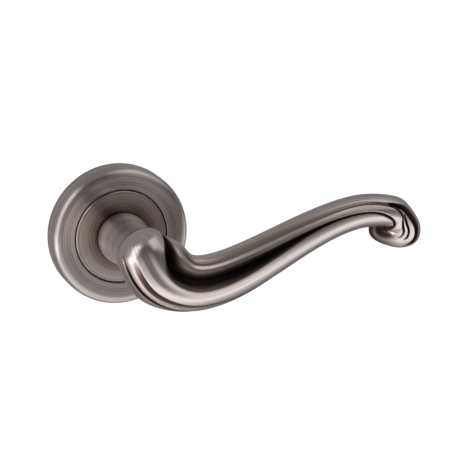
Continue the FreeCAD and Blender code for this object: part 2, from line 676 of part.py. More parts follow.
def skin(sections):
    """Cubic surface over the sections: clamped along the arm and closed round it."""
    along = len(sections)
    around = len(sections[0])
    surface = Part.BSplineSurface()
    surface.buildFromPolesMultsKnots(
        sections, [4] + [1] * (along - 4) + [4], [1] * (around + 1),
        [float(knot) for knot in range(along - 2)], [float(knot) for knot in range(around + 1)],
        False, True, 3, 3)
    return surface


def make_arm(doc):
    """Fluted arm: a skin over the cap, the arm's stations and the scroll's spokes, closed by two ends."""
    rows = list(ARM) + [scroll_station(row) for row in SCROLL]
    sections = [section_points(rows, 0.0, scale, step * CAP_LENGTH) for step, scale in reversed(CAP_STEPS)]
    sections += [section_points(rows, half / 2) for half in range(2 * len(rows) - 1)]
    surface = skin(sections)
    first, last, low, high = surface.bounds()
    faces = [surface.toShape()]
    for place in (first, last):
        rim = surface.uIso(place).toShape()
        faces.append(Part.Face(Part.Wire([rim])))
    shell = Part.makeShell(faces)
    shell.sewShape()
    solid = Part.makeSolid(Part.Shell(shell.Faces))
    if solid.Volume < 0:
        solid.reverse()
    arm = doc.addObject("Part::Feature", "arm")
    arm.Shape = solid
    return arm


def make_lever_handle(doc, sheet):
    """Cast lever: neck and arm in one, with the spindle socket, the hub flats and the grub hole."""
    casting = join(doc, "lever_casting", make_neck(doc, sheet), make_arm(doc))
    socket = plate_box(doc, "socket_tool", "sizes.socket_width", "sizes.socket_end + sizes.cut_clearance",
                       "-sizes.socket_end", "sizes.socket_width")
    hole = doc.addObject("Part::Cylinder", "grub_hole_tool")
    hole.Placement = Placement(Vector(0, 0, 0), Rotation(Vector(1, 0, 0), 180))
    bind(hole, "Radius", "grub_hole_radius")
    bind(hole, "Height", "grub_hole_length")
    bind(hole, "Placement.Base.y", "-grub_depth")
    groove_outer = cylinder(doc, "circlip_groove_outer", "cam_radius",
                            "sizes.circlip_groove_front - sizes.circlip_groove_back",
                            "-sizes.circlip_groove_front")
    groove_inner = cylinder(doc, "circlip_groove_inner", "circlip_groove_radius",
                            "sizes.circlip_groove_front - sizes.circlip_groove_back",
                            "-sizes.circlip_groove_front")
    groove = cut(doc, "circlip_groove_tool", groove_outer, groove_inner)
    flats = []
    for name, left in (("flat_right", "sizes.flat_width / 2"),
                       ("flat_left", "-sizes.flat_width / 2 - sizes.flat_cut_width")):
        flats.append(plate_box(doc, name, "sizes.flat_cut_width", "sizes.flat_end", "-sizes.flat_end",
                               "sizes.cut_height", left=left))
    tools = join(doc, "lever_tools", socket, hole, groove, *flats)
    return cut(doc, "lever_handle", casting, tools)


def check_document(doc):
    """Stop when any object of the document failed."""
    for item in doc.Objects:
        if "Invalid" in item.State or "Error" in item.State:
            raise RuntimeError("failed: %s, %s" % (item.Name, item.getStatusString()))


def write_part(item):
    """Check one sub-part and write its file."""
    shape = item.Shape
    if shape.isNull() or not shape.isValid():
        raise RuntimeError("bad shape: " + item.Label)
    shape.exportStep(os.path.join("parts", item.Label + ".step"))
    box = shape.BoundBox
    print("%-18s volume %9.1f  x %6.1f %6.1f  y %6.1f %6.1f  z %6.1f %6.1f  solids %d"
          % (item.Label, shape.Volume, box.XMin, box.XMax, box.YMin, box.YMax, box.ZMin, box.ZMax,
             len(shape.Solids)))


def main():
    """Build every sub-part and write it."""
    doc = FreeCAD.newDocument("door_lever")
    sheet = make_sheet(doc)
    parts = [
        make_rose_ring(doc, sheet), make_collar_disc(doc, sheet), make_spring_housing(doc, sheet),
        make_backplate(doc, sheet), make_neck_bush(doc, sheet), make_snap_ring(doc),
        make_thrust_washer(doc), make_circlip(doc), make_drive_cam(doc),
        make_return_spring(doc), make_spindle(doc, sheet), make_grub_screw(doc),
        make_pin(doc, "stop_pin_rest", "rest_pin"),
        make_pin(doc, "stop_pin_travel", "travel_pin"),
        make_fixing_bolt(doc, "fixing_bolt_upper", "1"),
        make_fixing_bolt(doc, "fixing_bolt_lower", "-1"),
    ]
    for index in range(HOUSING_SCREWS):
        angle = 360 * index / HOUSING_SCREWS
        parts.append(make_housing_screw(doc, "housing_screw_%d" % (index + 1), angle))
    parts.append(make_lever_handle(doc, sheet))
    doc.recompute()
    check_document(doc)
    os.makedirs("parts", exist_ok=True)
    for item in parts:
        write_part(item)


main()
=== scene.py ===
"""Scroll door lever on a round rose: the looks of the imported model.

Blender works in metres. The shape tables are in millimetres and degrees, in the frame of the CAD
model: the spindle's axis is the Y axis, the door's face is y = 0, and the lever points to +X.
"""
import math
import bpy
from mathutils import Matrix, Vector


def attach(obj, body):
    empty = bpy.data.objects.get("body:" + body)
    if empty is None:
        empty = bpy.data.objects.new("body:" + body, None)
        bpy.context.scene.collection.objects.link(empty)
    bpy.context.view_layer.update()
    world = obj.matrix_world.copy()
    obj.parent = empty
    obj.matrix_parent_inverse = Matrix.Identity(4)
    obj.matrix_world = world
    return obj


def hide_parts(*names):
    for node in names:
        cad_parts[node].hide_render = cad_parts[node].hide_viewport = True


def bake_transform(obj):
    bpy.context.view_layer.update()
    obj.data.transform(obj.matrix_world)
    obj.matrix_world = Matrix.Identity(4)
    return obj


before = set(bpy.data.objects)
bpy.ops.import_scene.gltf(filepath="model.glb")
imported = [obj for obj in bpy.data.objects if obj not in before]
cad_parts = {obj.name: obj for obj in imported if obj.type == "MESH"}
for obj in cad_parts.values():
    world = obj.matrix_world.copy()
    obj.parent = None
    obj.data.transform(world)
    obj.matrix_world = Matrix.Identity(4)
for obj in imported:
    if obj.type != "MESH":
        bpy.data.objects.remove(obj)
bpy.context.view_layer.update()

MM = 0.001

# Stations of the arm: x, y and z of the centre, reach above, below, to the front and to the back,
# and the direction of "above" in degrees from +X towards +Z. The x and z of the centres, and of
# the scroll's eye, are what a scratch script printed for points read off the photo, hardly changed.
ARM = (
    (-1.6, -41.0, 3.4, 9.4, 10.6, 9.4, 9.0, 31.0),
    (3.6, -41.2, -5.2, 13.9, 12.8, 9.8, 8.8, 48.0),
    (14.2, -41.2, -11.0, 11.2, 10.9, 9.2, 8.0, 76.0),
    (25.4, -41.0, -10.8, 10.3, 10.2, 8.6, 7.2, 99.0),
    (36.6, -40.8, -7.5, 9.5, 9.6, 8.0, 6.8, 110.0),
    (48.6, -40.6, -2.4, 8.5, 8.6, 7.5, 6.5, 113.0),
    (60.7, -40.4, 2.9, 7.7, 7.5, 7.0, 6.2, 112.0),
    (72.9, -40.2, 7.5, 7.0, 6.7, 6.6, 6.0, 107.0),
    (83.2, -40.0, 10.0, 6.6, 6.5, 6.4, 5.8, 98.0),
    (91.0, -40.0, 10.1, 6.5, 6.2, 6.3, 5.7, 88.0),
)

# Stations of the scroll, as spokes round its eye (x and z): direction of the spoke, y, outer and
# inner radius, and reach to the front and to the back.
SCROLL_EYE = (97.1, 2.1)
SCROLL = (
    (74.0, -40.0, 13.2, 1.2, 6.1, 5.7),
    (52.0, -39.9, 12.4, 0.4, 5.9, 5.5),
    (26.0, -39.7, 12.3, -0.4, 5.6, 5.3),
    (0.0, -39.4, 13.8, -0.8, 5.2, 5.1),
    (-26.0, -38.9, 14.2, -0.8, 4.8, 4.9),
    (-52.0, -38.2, 10.8, -0.8, 4.5, 4.7),
    (-84.0, -37.4, 7.2, -0.8, 4.2, 4.4),
    (-118.0, -36.8, 6.3, -0.8, 4.0, 4.2),
    (-148.0, -36.4, 6.5, -0.8, 3.6, 3.9),
    (-176.0, -36.2, 6.2, -0.8, 3.2, 3.6),
    (-202.0, -36.4, 5.8, -0.6, 3.0, 3.4),
    (-226.0, -36.8, 5.4, -0.2, 2.8, 3.2),
    (-250.0, -37.2, 4.8, 0.6, 2.2, 2.6),
    (-264.0, -37.4, 3.6, 1.8, 0.7, 0.8),
)

# Rounded cap that closes the head: share of its length that each section is moved back along the
# arm, and the size left there.
CAP_STEPS = ((0.34, 0.94), (0.62, 0.79), (0.84, 0.55), (0.96, 0.28), (1.0, 0.06))
CAP_LENGTH = 8.2

# Flutes: station, direction of the bottom in degrees from the front towards "above", width above
# and below the bottom in degrees, and depth as a share of the radius. The first five start at the
# head, and the two of the shell shape the scroll.
MAIN_FLUTE = (
    (-0.5, 92.0, 12.0, 16.0, 0.0), (0.2, 58.0, 18.0, 24.0, 0.14), (1.0, 34.0, 24.0, 30.0, 0.23),
    (2.0, 27.0, 24.0, 34.0, 0.25), (4.0, 25.0, 20.0, 32.0, 0.22), (5.0, 23.0, 14.0, 24.0, 0.16),
    (6.5, 19.0, 10.0, 9.0, 0.08), (8.0, 10.0, 9.0, 6.0, 0.06), (9.0, 2.0, 8.0, 6.0, 0.07),
    (9.6, -16.0, 7.0, 8.0, 0.11), (10.2, -48.0, 9.0, 10.0, 0.12), (11.0, -76.0, 10.0, 12.0, 0.05),
    (11.6, -86.0, 10.0, 12.0, 0.0),
)
RIDGE_LINE = (
    (0.7, 76.0, 8.0, 8.0, 0.0), (1.5, 67.0, 10.0, 8.0, 0.07), (2.6, 62.0, 13.0, 8.0, 0.06),
    (4.0, 60.0, 18.0, 8.0, 0.05), (6.0, 50.0, 18.0, 8.0, 0.06),
    (8.0, 42.0, 16.0, 7.0, 0.07), (9.4, 32.0, 10.0, 7.0, 0.09), (10.2, 10.0, 8.0, 7.0, 0.12),
    (11.0, -6.0, 7.0, 7.0, 0.13), (12.4, -18.0, 7.0, 7.0, 0.13), (13.8, -20.0, 7.0, 7.0, 0.09),
    (14.8, -16.0, 7.0, 7.0, 0.0),
)
LOWER_FLUTE = (
    (-0.3, -38.0, 7.0, 7.0, 0.0), (0.6, -41.0, 7.0, 8.0, 0.05), (1.6, -45.0, 7.0, 8.0, 0.06),
    (2.6, -52.0, 7.0, 8.0, 0.05), (5.0, -72.0, 7.0, 8.0, 0.03), (6.0, -78.0, 7.0, 8.0, 0.0),
)
BACK_FLUTE = (
    (-1.0, -66.0, 4.0, 6.0, 0.0), (0.2, -63.0, 4.0, 6.0, 0.07), (1.2, -61.0, 4.0, 6.0, 0.08),
    (2.2, -74.0, 5.0, 7.0, 0.06), (3.4, -92.0, 6.0, 8.0, 0.0),
)
CROWN_FLUTE = (
    (-0.9, 2.0, 15.0, 15.0, 0.0), (0.0, -4.0, 15.0, 15.0, 0.05), (1.0, -8.0, 15.0, 15.0, 0.045),
    (2.2, -14.0, 15.0, 15.0, 0.0),
)
SHELL_VALLEY = (
    (9.2, 40.0, 8.0, 8.0, 0.0), (10.2, 30.0, 14.0, 12.0, 0.18), (11.4, 32.0, 18.0, 14.0, 0.24),
    (12.6, 40.0, 18.0, 14.0, 0.22), (13.8, 48.0, 14.0, 12.0, 0.12), (14.8, 52.0, 12.0, 12.0, 0.0),
)
SHELL_CREASE = (
    (10.4, 14.0, 6.0, 6.0, 0.0), (11.0, 8.0, 6.0, 7.0, 0.09), (12.2, 2.0, 7.0, 7.0, 0.13),
    (13.4, 4.0, 7.0, 7.0, 0.11), (14.6, 8.0, 7.0, 7.0, 0.0),
)
# Each flute and how dark the patina and painted shade in it are: the dark in the hollows is partly
# the metal's patina and partly painted shade.
FLUTES = (
    (MAIN_FLUTE, 1.0), (RIDGE_LINE, 0.42), (LOWER_FLUTE, 0.75), (BACK_FLUTE, 0.8),
    (CROWN_FLUTE, 0.0), (SHELL_VALLEY, 1.0), (SHELL_CREASE, 1.0),
)
# Depth of a flute, as a share of the radius, at which its patina and painted shade are complete,
# and the most patina and painted shade.
FULL_PATINA_AND_SHADE_DEPTH = 0.06
MOST_PATINA_AND_SHADE = 1.15
# How steeply the patina and painted shade fade towards the ridge side of a flute, by station, and
# towards the other side.
RIDGE_EDGE = (
    (0.5, 0.6), (1.3, 1.5), (2.4, 1.3), (3.6, 1.0), (5.5, 1.0), (7.5, 2.0), (9.2, 2.0), (10.0, 0.6),
)
HOLLOW_EDGE = 0.7
# Painted shade on the rolled-under end of the scroll, which faces down: station and strength.
CURL_PAINTED_SHADE = ((15.0, 0.0), (16.4, 0.42), (18.0, 0.55), (21.0, 0.8))

# Points round a section, rings for each half station, and rings that share one length of grain.
AROUND = 240
ALONG = 8
GRAIN_ROWS = 60.0

# Half-profile of the lever's round part: radius and depth in front of the door. The hub and the
# step at the neck's foot have corners, and the neck is one curve in NECK_STEPS steps a span.
HUB = ((8.0, 0.5), (8.0, 4.0), (8.0, 8.5), (9.15, 8.5), (9.4, 8.62))
NECK = ((9.4, 8.5), (9.9, 12.6), (8.9, 20.6), (9.0, 27.0), (9.7, 34.0), (7.0, 38.0))
NECK_STEPS = 10
# Height over which the painted shade in the crease at the neck's foot fades.
FOOT_PAINTED_SHADE = 1.6

# Grub screw's hole in the underside of the neck.
GRUB_HOLE_RADIUS = 2.55
GRUB_HOLE_CENTRE = (0.0, -20.6, -12.0)
GRUB_HOLE_LENGTH = 9.0
HOLE_SIDES = 48

# Brushed finishes: noise scales of the fine and the broad lines, the darkest line as a share of the
# colour, roughness from and to, strength of the bump, and anisotropy.
TURNED = {
    "fine": (4200.0, 4200.0, 1.0), "broad": (2100.0, 2100.0, 1.0), "darkest": 0.48,
    "roughness": (0.26, 0.36), "bump": 0.10, "anisotropy": 0.9,
}
LENGTHWISE = {
    "fine": (1.6, 420.0, 1.0), "broad": (0.5, 60.0, 1.0), "darkest": 0.66,
    "roughness": (0.24, 0.32), "bump": 0.04, "anisotropy": 0.5,
}
LEVER_COLOUR = (0.74, 0.665, 0.64)
# The neck's colour is the arm's metal painted lighter: a painted highlight.
NECK_LIT_COLOUR = (0.90, 0.82, 0.79)
ROSE_COLOUR = (0.76, 0.68, 0.655)
# Noise values between which the colour and the roughness of the lines change, and the lines'
# height in metres.
LINE_SHADES = (0.34, 0.66)
LINE_WEAR = (0.3, 0.7)
LINE_HEIGHT = 0.00005
# Turn that lays the shader's stretched highlights across the lines.
QUARTER_TURN = 0.25
NOISE_DETAIL = 4.0
NOISE_ROUGHNESS = 0.6
# Patina and painted shade: their strength, and what they multiply the metal's colour by.
PATINA_AND_SHADE_COLOURS = (
    (0.0, 1.0), (0.30, (0.62, 0.54, 0.49)), (0.60, (0.17, 0.13, 0.115)),
    (0.80, (0.035, 0.03, 0.027)), (1.0, (0.012, 0.01, 0.01)),
)
# Painted shade on the rose round the neck's foot: the radii in metres between which it fades, and
# its strengths there.
FOOT_SHADE_RADII = (0.0095, 0.0165)
FOOT_SHADE_STRENGTHS = (0.6, 0.0)

# Metals inside the rose: colour, roughness and scale of the mottling.
CAST_ZINC = ((0.12, 0.12, 0.125), 0.55, 500.0)
GROUND_STEEL = ((0.45, 0.44, 0.42), 0.35, 900.0)
SPRING_STEEL = ((0.20, 0.20, 0.22), 0.40, 900.0)
BLACK_OXIDE = ((0.05, 0.05, 0.055), 0.45, 900.0)
ZINC_PLATE = ((0.66, 0.66, 0.64), 0.32, 900.0)
# Darkest mottling as a share of the colour, and the shares between which the roughness varies.
METAL_DARKEST = 0.82
METAL_WEAR = (0.8, 1.2)
# Natural acetal of the bush.
ACETAL_COLOUR = (0.82, 0.80, 0.75)
ACETAL_SCALE = 400.0
ACETAL_DARKEST = 0.93
ACETAL_ROUGHNESS = 0.45
# Noise values of the darkest and the lightest mottling.
MOTTLE_SHADES = (0.3, 0.7)

# Room that the metal mirrors: direction in degrees about the X axis, from 0 straight in front of
# the door to 90 overhead and -90 underneath, and brightness.
ROOM = (
    (-180, 0.30), (-125, 0.20), (-97, 0.12), (-84, 0.42), (-72, 0.95), (-60, 1.40), (-46, 1.40),
    (-34, 0.90), (-22, 0.44), (-12, 0.22), (0, 0.14), (28, 0.09), (50, 0.15), (75, 0.30),
    (100, 0.33), (180, 0.30),
)
BACKDROP_BRIGHTNESS = 1.1

# Soft lights, in metres and watts: name, place, width, height and power.
LIGHTS = (
    ("key", (-0.75, -0.50, 0.15), 0.45, 1.4, 3.6),
    ("fill", (0.60, -0.55, 0.75), 1.0, 1.0, 2.0),
)
LIGHT_TARGET = (0.02, 0.0, 0.0)
LIGHT_COLOUR = (1.0, 0.985, 0.97)

# Floor: half its side and its height in metres, grey, roughness and glow. It lies low, so that it
# doesn't hide the bright part of the room from the metal.
FLOOR_REACH = 0.9
FLOOR_HEIGHT = -2.5
FLOOR_GREY = 0.88
FLOOR_ROUGHNESS = 0.9
FLOOR_GLOW = 0.35
WHITE = (1.0, 1.0, 1.0, 1.0)

# Camera: point it aims at, its distance from there, how far round to the left and above it stands
# in degrees, its lens and sensor, and the nearest thing that it sees. Lengths are in millimetres.
# The aim, the lens and the place are a scratch script's fit to the photo, rounded.
CAMERA_AIM = (38.07, -25.0, 3.37)
CAMERA_DISTANCE = 788.0
CAMERA_LEFT = 20.0
CAMERA_ABOVE = 15.3
LENS = 162.0
SENSOR = 36.0
NEAREST_SEEN = 10.0


def hermite(first, second, start, end, t):
    """Cubic between two values with given slopes at both, at the share t of the way."""
    return ((2 * t ** 3 - 3 * t ** 2 + 1) * first + (t ** 3 - 2 * t ** 2 + t) * start
            + (3 * t ** 2 - 2 * t ** 3) * second + (t ** 3 - t ** 2) * end)


def interpolate(rows, place):
    """Values of a table at a place, its first column: a smooth curve, held beyond the end rows."""
    if place <= rows[0][0]:
        return rows[0][1:]
    if place >= rows[-1][0]:
        return rows[-1][1:]
    index = next(i for i in range(len(rows) - 1) if place <= rows[i + 1][0])
    before = rows[max(index - 1, 0)]
    first, second = rows[index], rows[index + 1]
    after = rows[min(index + 2, len(rows) - 1)]
    span = second[0] - first[0]
    values = []
    for a, b, c, d in zip(before[1:], first[1:], second[1:], after[1:]):
        start = (c - a) / (second[0] - before[0]) * span
        end = (d - b) / (after[0] - first[0]) * span
        values.append(hermite(b, c, start, end, (place - first[0]) / span))
    return values


def along_stations(rows, place):
    """Values of a list of stations at a fractional station number, on a smooth curve."""
    index = min(max(int(math.floor(place)), 0), len(rows) - 2)
    before = rows[max(index - 1, 0)]
    after = rows[min(index + 2, len(rows) - 1)]
    return [hermite(b, c, (c - a) / 2, (d - b) / 2, place - index)
            for a, b, c, d in zip(before, rows[index], rows[index + 1], after)]


def scroll_station(row):
    """Station of the arm for one spoke of the scroll."""
    angle, depth, outer, inner, front, back = row
    radius = (outer + inner) / 2
    reach = (outer - inner) / 2
    x = SCROLL_EYE[0] + radius * math.cos(math.radians(angle))
    z = SCROLL_EYE[1] + radius * math.sin(math.radians(angle))
    return (x, depth, z, reach, reach, front, back, angle)


def fluted(place):
    """Share of the radius left by the flutes, and the patina and painted shade, at each point round
    a section.
    """
    shares = [1.0] * AROUND
    # Painted shade on the rolled-under end of the scroll.
    patina_and_shade = list(interpolate(CURL_PAINTED_SHADE, place)) * AROUND
    ridge_edge = interpolate(RIDGE_EDGE, place)[0]
    for flute, shade_and_patina in FLUTES:
        centre, above, below, depth = interpolate(flute, place)
        if depth <= 0.0:
            continue
        # Darkness in the flute's hollow: partly patina, partly painted shade.
        strength = min(shade_and_patina * depth / FULL_PATINA_AND_SHADE_DEPTH, MOST_PATINA_AND_SHADE)
        for index in range(AROUND):
            offset = (360.0 * index / AROUND - centre) % 360.0 - 180.0
            width = above if offset > 0 else below
            if abs(offset) < width:
                profile = math.cos(math.radians(90.0 * offset / width))
                shares[index] -= depth * profile ** 2
                edge = ridge_edge if offset > 0 else HOLLOW_EDGE
                patina_and_shade[index] = max(patina_and_shade[index], strength * profile ** edge)
    return shares, patina_and_shade


def section(rows, place, scale=1.0, shift=0.0):
    """Centre and points of one section, which the cap scales and moves back along the arm."""
    x, y, z, above, below, ahead, behind, lean = along_stations(rows, place)
    up = Vector((math.cos(math.radians(lean)), 0, math.sin(math.radians(lean))))
    along = Vector((up.z, 0, -up.x))
    front = Vector((0, -1, 0))
    centre = Vector((x, y, z)) - along * shift
    points = [centre]
    for index in range(AROUND):
        angle = 360.0 * index / AROUND - 180.0
        sine = math.sin(math.radians(angle))
        cosine = math.cos(math.radians(angle))
        tall = above if sine > 0 else below
        deep = ahead if cosine > 0 else behind
        radius = scale / math.hypot(sine / tall, cosine / deep)
        points.append(centre + (up * sine + front * cosine) * radius)
    return points


def pole_weights(t):
    """Weights of four neighbouring poles at the share t of a cubic B-spline's span."""
    return ((1 - t) ** 3 / 6, (3 * t ** 3 - 6 * t ** 2 + 4) / 6,
            (-3 * t ** 3 + 3 * t ** 2 + 3 * t + 1) / 6, t ** 3 / 6)


def arm_rings():
    """Rings of points along the arm and their patina and painted shade: a B-spline of the sections,
    then fluted.
    """
    rows = list(ARM) + [scroll_station(row) for row in SCROLL]
    poles = [section(rows, 0.0, scale, step * CAP_LENGTH) for step, scale in reversed(CAP_STEPS)]
    poles += [section(rows, half / 2) for half in range(2 * len(rows) - 1)]
    poles = [poles[0]] + poles + [poles[-1]]
    rings = []
    shade_and_patina_rows = []
    for index in range(len(poles) - 3):
        group = poles[index:index + 4]
        for part in range(ALONG):
            t = part / ALONG
            weights = pole_weights(t)
            centre, *points = [sum((pole[i] * w for pole, w in zip(group, weights)), Vector())
                               for i in range(AROUND + 1)]
            shares, patina_and_shade = fluted((index + t - len(CAP_STEPS)) / 2)
            rings.append([centre + (point - centre) * share
                          for point, share in zip(points, shares)])
            shade_and_patina_rows.append(patina_and_shade)
    return rings, shade_and_patina_rows


def neck_rings():
    """Rings of the hub and neck about the Y axis, from the door outwards, and their painted shade
    at the foot.
    """
    profile = list(HUB)
    profile += [along_stations(NECK, step / NECK_STEPS)
                for step in range(1, (len(NECK) - 1) * NECK_STEPS + 1)]
    rings = []
    shade_and_patina_rows = []
    for radius, depth in profile:
        ring = []
        for index in range(AROUND):
            angle = 2 * math.pi * index / AROUND
            ring.append(Vector((radius * math.cos(angle), -depth, radius * math.sin(angle))))
        rings.append(ring)
        # Painted shade in the crease at the neck's foot, fading outwards.
        shade_and_patina_rows.append([max(0.0, 1.0 - (depth - NECK[0][1]) / FOOT_PAINTED_SHADE)] * AROUND)
    return rings, shade_and_patina_rows


def add_object(name, data):
    """New object in the scene."""
    item = bpy.data.objects.new(name, data)
    bpy.context.scene.collection.objects.link(item)
    return item


def skin(name, rings, shade_and_patina_rows):
    """Closed smooth mesh over rings of equal length, with grain UVs and its patina and painted
    shade.
    """
    count = len(rings[0])
    vertices = [point * MM for ring in rings for point in ring]
    faces = []
    for row in range(len(rings) - 1):
        low, high = row * count, (row + 1) * count
        for index in range(count):
            following = (index + 1) % count
            faces.append((low + index, low + following, high + following, high + index))
    first = len(vertices)
    vertices.append(sum(rings[0], Vector()) / count * MM)
    vertices.append(sum(rings[-1], Vector()) / count * MM)
    last = (len(rings) - 1) * count
    for index in range(count):
        following = (index + 1) % count
        faces.append((following, index, first))
        faces.append((last + index, last + following, first + 1))
    mesh = bpy.data.meshes.new(name)
    mesh.from_pydata(vertices, [], faces)
    layer = mesh.uv_layers.new(name="grain")
    for polygon in mesh.polygons:
        side = polygon.index % count
        for corner, loop in enumerate(polygon.loop_indices):
            row = min(mesh.loops[loop].vertex_index // count, len(rings) - 1)
            column = side + (1 if len(polygon.vertices) == 4 and corner in (1, 2) else 0)
            layer.data[loop].uv = (row / GRAIN_ROWS, column / count)
    patina_and_shade = mesh.attributes.new("patina_and_shade", "FLOAT", "POINT")
    values = [value for shade_and_patina in shade_and_patina_rows for value in shade_and_patina] + [shade_and_patina_rows[0][0], shade_and_patina_rows[-1][0]]
    patina_and_shade.data.foreach_set("value", values)
    mesh.validate()
    for polygon in mesh.polygons:
        polygon.use_smooth = True
    mesh.update()
    return add_object(name, mesh)


def node(tree, kind, **values):
    """New shader node, with some inputs set by name."""
    item = tree.nodes.new(kind)
    for name, value in values.items():
        item.inputs[name.replace("_", " ")].default_value = value
    return item


def ramp(tree, factor, stops):
    """Colour at a factor, from stops of position and grey or colour."""
    item = node(tree, "ShaderNodeValToRGB")
    elements = item.color_ramp.elements
    while len(elements) > 1:
        elements.remove(elements[-1])
    for index, (position, colour) in enumerate(stops):
        element = elements[0] if index == 0 else elements.new(position)
        element.position = position
        if isinstance(colour, (int, float)):
            colour = (colour, colour, colour)
        element.color = (*colour, 1.0)
    tree.links.new(factor, item.inputs[0])
    return item.outputs[0]


def shades(tree, factor, colour, darkest, edges):
    """Colour that is darkened to a share of itself where the factor is low."""
    dark = tuple(darkest * value for value in colour)
    return ramp(tree, factor, ((edges[0], dark), (edges[1], colour)))


def map_range(tree, value, source, target):
    """Value carried from one range to another."""
    item = node(tree, "ShaderNodeMapRange", From_Min=source[0], From_Max=source[1],
                To_Min=target[0], To_Max=target[1])
    tree.links.new(value, item.inputs["Value"])
    return item.outputs[0]


def calculate(tree, operation, value, *others):
    """Output of a maths node: a value first, then numbers or other outputs."""
    item = node(tree, "ShaderNodeMath")
    item.operation = operation
    tree.links.new(value, item.inputs[0])
    for socket, other in zip(item.inputs[1:], others):
        if isinstance(other, float):
            socket.default_value = other
        else:
            tree.links.new(other, socket)
    return item.outputs[0]


def noise(tree, place, scale, stretch=(1.0, 1.0, 1.0)):
    """Noise at a coordinate, drawn out by a stretch."""
    mapping = node(tree, "ShaderNodeMapping", Scale=stretch)
    grain = node(tree, "ShaderNodeTexNoise", Scale=scale, Detail=NOISE_DETAIL,
                 Roughness=NOISE_ROUGHNESS)
    tree.links.new(place, mapping.inputs["Vector"])
    tree.links.new(mapping.outputs["Vector"], grain.inputs["Vector"])
    return grain.outputs["Fac"]


def new_material(name):
    """Empty node material with its tree and its Principled shader."""
    material = bpy.data.materials.new(name)
    material.use_nodes = True
    tree = material.node_tree
    shader = next(item for item in tree.nodes if item.type == "BSDF_PRINCIPLED")
    return material, tree, shader


def axis_place(tree):
    """Distance from the Y axis and place along it."""
    parts = node(tree, "ShaderNodeSeparateXYZ")
    tree.links.new(node(tree, "ShaderNodeTexCoord").outputs["Object"], parts.inputs[0])
    flat = node(tree, "ShaderNodeCombineXYZ")
    tree.links.new(parts.outputs["X"], flat.inputs["X"])
    tree.links.new(parts.outputs["Z"], flat.inputs["Z"])
    distance = node(tree, "ShaderNodeVectorMath")
    distance.operation = "LENGTH"
    tree.links.new(flat.outputs[0], distance.inputs[0])
    return distance.outputs["Value"], parts.outputs["Y"]


def turned_lines(tree):
    """Coordinate and tangent of a surface brushed round the Y axis."""
    distance, depth = axis_place(tree)
    place = node(tree, "ShaderNodeCombineXYZ")
    tree.links.new(distance, place.inputs["X"])
    tree.links.new(depth, place.inputs["Y"])
    tangent = node(tree, "ShaderNodeTangent")
    tangent.direction_type = "RADIAL"
    tangent.axis = "Y"
    return place.outputs[0], tangent.outputs[0]


def lengthwise_lines(tree):
    """Coordinate and tangent of a surface brushed along the arm."""
    place = node(tree, "ShaderNodeUVMap")
    place.uv_map = "grain"
    tangent = node(tree, "ShaderNodeTangent")
    tangent.direction_type = "UV_MAP"
    tangent.uv_map = "grain"
    return place.outputs[0], tangent.outputs[0]


def stored_patina_and_shade(tree):
    """Patina and painted shade that skin() stored with a mesh."""
    stored = node(tree, "ShaderNodeAttribute")
    stored.attribute_name = "patina_and_shade"
    return stored.outputs["Fac"]


def painted_shade_at_foot(tree):
    """Painted shade on the rose, round the neck's foot."""
    # Painted shade, darker nearer the neck.
    return map_range(tree, axis_place(tree)[0], FOOT_SHADE_RADII, FOOT_SHADE_STRENGTHS)


def brushed_nickel(name, colour, finish, patina_and_shade):
    """Satin antique nickel with brushed lines, darkened where patina and painted shade are left."""
    material, tree, shader = new_material(name)
    place, tangent = turned_lines(tree) if finish is TURNED else lengthwise_lines(tree)
    fine = noise(tree, place, 1.0, finish["fine"])
    broad = noise(tree, place, 1.0, finish["broad"])
    # Multiplies the lines' colour by the patina and painted shade.
    aged_and_shaded = node(tree, "ShaderNodeMix")
    aged_and_shaded.data_type = "RGBA"
    aged_and_shaded.blend_type = "MULTIPLY"
    aged_and_shaded.inputs["Factor"].default_value = 1.0
    tree.links.new(shades(tree, broad, colour, finish["darkest"], LINE_SHADES), aged_and_shaded.inputs["A"])
    tree.links.new(ramp(tree, patina_and_shade(tree), PATINA_AND_SHADE_COLOURS), aged_and_shaded.inputs["B"])
    bump = node(tree, "ShaderNodeBump", Strength=finish["bump"], Distance=LINE_HEIGHT)
    tree.links.new(fine, bump.inputs["Height"])
    roughness = map_range(tree, fine, LINE_WEAR, finish["roughness"])
    for socket, output in (("Base Color", aged_and_shaded.outputs["Result"]), ("Roughness", roughness),
                           ("Normal", bump.outputs[0]), ("Tangent", tangent)):
        tree.links.new(output, shader.inputs[socket])
    shader.inputs["Metallic"].default_value = 1.0
    shader.inputs["Anisotropic"].default_value = finish["anisotropy"]
    shader.inputs["Anisotropic Rotation"].default_value = QUARTER_TURN
    return material


def mottled(name, colour, darkest, scale):
    """Material with faint mottling in its colour, its tree, its shader and the mottling."""
    material, tree, shader = new_material(name)
    mottling = noise(tree, node(tree, "ShaderNodeTexCoord").outputs["Object"], scale)
    tree.links.new(shades(tree, mottling, colour, darkest, MOTTLE_SHADES),
                   shader.inputs["Base Color"])
    return material, tree, shader, mottling


def machined_metal(name, colour, roughness, scale):
    """Plain machined, cast or plated metal."""
    material, tree, shader, mottling = mottled(name, colour, METAL_DARKEST, scale)
    target = tuple(roughness * share for share in METAL_WEAR)
    tree.links.new(map_range(tree, mottling, (0.0, 1.0), target), shader.inputs["Roughness"])
    shader.inputs["Metallic"].default_value = 1.0
    return material


def natural_acetal(name):
    """Moulded plastic of the bush."""
    material, _, shader, _ = mottled(name, ACETAL_COLOUR, ACETAL_DARKEST, ACETAL_SCALE)
    shader.inputs["Roughness"].default_value = ACETAL_ROUGHNESS
    return material


def paint(material, *names):
    """Give CAD nodes one material."""
    for name in names:
        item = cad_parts[name]
        item.data.materials.clear()
        item.data.materials.append(material)


